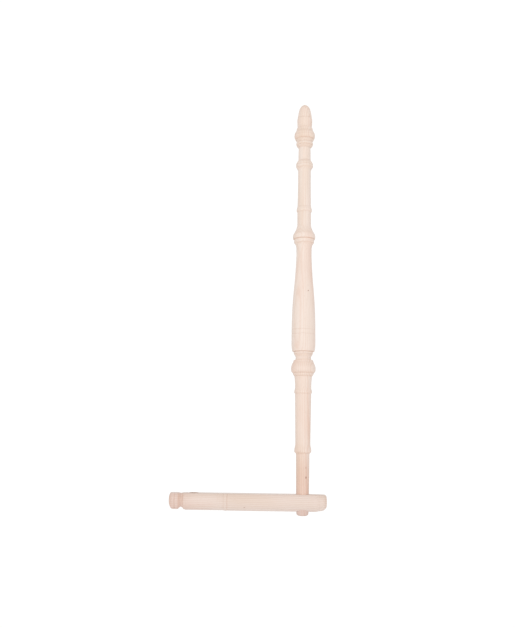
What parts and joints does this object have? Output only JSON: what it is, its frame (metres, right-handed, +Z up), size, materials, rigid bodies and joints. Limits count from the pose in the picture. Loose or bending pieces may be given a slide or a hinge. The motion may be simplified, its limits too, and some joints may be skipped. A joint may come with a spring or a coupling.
{
  "type": "spinning wheel distaff",
  "caption": "Distaff for a spinning wheel: a tall turned post with a finial stands in a hole through a turned, flat-topped arm that fits on the wheel's pin.",
  "frame": {"origin": "where the axis of the wheel-pin bore meets the arm's centre line", "axes": "+Z up along the post and the bore, +X along the arm from the bore to the post"},
  "size_m": [0.2171, 0.035, 0.5979],
  "materials": {
    "bare_wood": "unfinished, sanded on the lathe"
  },
  "bodies": {
    "arm": {"distaff_arm": "bare_wood"},
    "lower_post": {"lower_post": "bare_wood"},
    "upper_post": {"upper_post": "bare_wood", "finial": "bare_wood"}
  },
  "joints": [
    {"name": "post_swivel", "type": "hinge", "parent": "arm", "child": "lower_post", "pos_m": [0.15, 0, 0], "axis": [0, 0, 1], "continuous": true},
    {"name": "upper_post_lift", "type": "slide", "parent": "lower_post", "child": "upper_post", "axis": [0, 0, 1], "range_m": [0, 0.025]}
  ]
}
